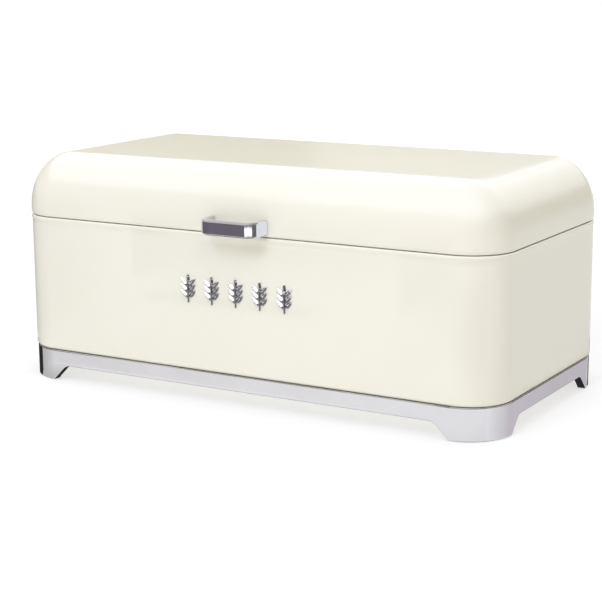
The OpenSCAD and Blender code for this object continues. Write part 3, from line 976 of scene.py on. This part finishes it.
def card_material(name, xs, ys, colours):
    """Glows in a colour that goes from one to the other along the card's longer side."""
    material, nodes, links, shader = new_material(name)
    shader.inputs["Base Color"].default_value = (0, 0, 0, 1)
    shader.inputs["Specular IOR Level"].default_value = 0
    shader.inputs["Emission Strength"].default_value = 1
    shader.inputs["Emission Color"].default_value = (*colours[0], 1)
    if colours[0] != colours[1]:
        split = nodes.new("ShaderNodeSeparateXYZ")
        links.new(object_space(nodes), split.inputs["Vector"])
        axis, ends = ("X", xs) if abs(xs[1] - xs[0]) > abs(ys[1] - ys[0]) else ("Y", ys)
        along = nodes.new("ShaderNodeMapRange")
        along.inputs["From Min"].default_value = ends[0]
        along.inputs["From Max"].default_value = ends[1]
        links.new(split.outputs[axis], along.inputs["Value"])
        links.new(ramp(nodes, links, along.outputs["Result"], *colours, 0, 1),
                  shader.inputs["Emission Color"])
    return material


def hide_card(card):
    """Leaves a card only in reflections."""
    card.visible_camera = False
    card.visible_diffuse = False
    card.visible_shadow = False
    card.visible_transmission = False


def add_card(name, xs, ys, zs, colour, end_colour=None):
    """An upright or, where z doesn't vary, level card."""
    (x0, x1), (y0, y1), (z0, z1) = xs, [y + MID_Y for y in ys], zs
    material = card_material(name, (x0, x1), (y0, y1), (colour, end_colour or colour))
    corners = ((x0, y0, z0), (x1, y1, z0), (x1, y1, z1), (x0, y0, z1))
    if z0 == z1:
        corners = ((x0, y0, z0), (x1, y0, z0), (x1, y1, z0), (x0, y1, z0))
    hide_card(add_stage_plane(name, corners, material))


def add_fade(name, x, reach, ys, start_colour, end_colour):
    """An upright and a level card beside the plinth."""
    add_card(name + "_upright", (x, x), ys, (0, FADE_H), start_colour, end_colour)
    add_card(name + "_level", (x, reach), ys, (LEVEL_Z, LEVEL_Z), start_colour, end_colour)


def add_painted_shade_under():
    """Painted shade under the bin, as its feet reflect it: a dark card in the plinth's outline."""
    inset = WALL_INSET + 0.3 * MM
    stations = outline(WIDTH - 2 * inset, DEPTH - 2 * inset, PLINTH_R, even_corner(8), even_run(1))
    corners = [(point.x, point.y + MID_Y, LEVEL_Z) for point, _inward, _run in stations]
    material = card_material("card_under", (0, 0), (0, 0), (DARK, DARK))
    hide_card(add_stage_plane("card_under", corners, material))


def add_camera():
    azimuth, elevation, roll = math.radians(30.507), math.radians(12.055), math.radians(-0.419)
    distance = 1305.62 * MM
    shift_right, shift_up = 5.406 * MM, 26.377 * MM
    middle = Vector((0, MID_Y, 90 * MM))
    back = Vector((math.sin(azimuth) * math.cos(elevation),
                   -math.cos(azimuth) * math.cos(elevation), math.sin(elevation)))
    level_right = (-back).cross(Vector((0, 0, 1))).normalized()
    level_up = level_right.cross(-back)
    right = level_right * math.cos(roll) + level_up * math.sin(roll)
    up = level_up * math.cos(roll) - level_right * math.sin(roll)
    location = middle - right * shift_right - up * shift_up + back * distance
    camera = bpy.data.objects.new("camera", bpy.data.cameras.new("camera"))
    rotation = Matrix((right, up, back)).transposed()
    camera.matrix_world = Matrix.Translation(location) @ rotation.to_4x4()
    camera.data.sensor_width = 36
    camera.data.lens = 97.64
    camera.data.clip_end = 100
    bpy.context.scene.collection.objects.link(camera)
    bpy.context.scene.camera = camera


def add_area_light(name, azimuth, elevation, distance, size, power, colour):
    """A soft box that looks at AIM. Azimuth 0 is in front, 90 on the right."""
    a, e = math.radians(azimuth), math.radians(elevation)
    direction = Vector((math.sin(a) * math.cos(e), -math.cos(a) * math.cos(e), math.sin(e)))
    light = bpy.data.lights.new(name, "AREA")
    light.shape = "RECTANGLE"
    light.size, light.size_y = size
    light.energy = power
    light.color = colour
    lamp = bpy.data.objects.new(name, light)
    lamp.location = AIM + direction * distance
    lamp.rotation_mode = "QUATERNION"
    lamp.rotation_quaternion = (-direction).to_track_quat("-Z", "Y")
    bpy.context.scene.collection.objects.link(lamp)
    return lamp


def add_world():
    """Studio walls: greyer near the ground and on the right, brighter overhead."""
    world = bpy.data.worlds.new("studio")
    world.use_nodes = True
    nodes, links = world.node_tree.nodes, world.node_tree.links
    split = nodes.new("ShaderNodeSeparateXYZ")
    links.new(nodes.new("ShaderNodeTexCoord").outputs["Generated"], split.inputs["Vector"])
    walls = ramp(nodes, links, split.outputs["Z"], WALL_LOW, WALL_HIGH, start=0.22, end=0.6)
    right = ramp(nodes, links, split.outputs["X"], grey(1), RIGHT_WALL, start=0.2, end=0.8)
    darken = nodes.new("ShaderNodeMixRGB")
    darken.blend_type = "MULTIPLY"
    darken.inputs["Fac"].default_value = 1
    links.new(walls, darken.inputs["Color1"])
    links.new(right, darken.inputs["Color2"])
    links.new(darken.outputs["Color"], nodes["Background"].inputs["Color"])
    bpy.context.scene.world = world


def light_only(lamp, words):
    """Lets a lamp or a card reach only the pieces with one of the words in their name."""
    receivers = bpy.data.collections.new(lamp.name + "_receivers")
    for piece in bpy.data.objects:
        if any(word in piece.name for word in words):
            receivers.objects.link(piece)
    lamp.light_linking.receiver_collection = receivers


def add_sheen():
    """A wide overhead box that puts a highlight on the enamel and the ears only."""
    sheen = add_area_light(*SHEEN)
    sheen.visible_diffuse = False
    light_only(sheen, ("enamel", "wheat"))


def add_lights():
    add_world()
    for card in CARDS:
        add_card(*card)
    for fade in FADES:
        add_fade(*fade)
    add_painted_shade_under()
    light_only(bpy.data.objects["card_back_right"], ("enamel",))
    for box in SOFT_BOXES:
        add_area_light(*box).visible_glossy = False
    add_sheen()
    bpy.context.scene.view_settings.view_transform = "Standard"


add_camera()
make_lid()
make_body()
make_floor_pan()
make_collar()
make_plinth()
make_plinth_screws()
make_foot_strips()
make_handle()
make_washers()
make_dome_nuts()
make_wheat_ears()
make_hinges()
make_rivets()
make_bumpers()
add_floor()
add_lights()
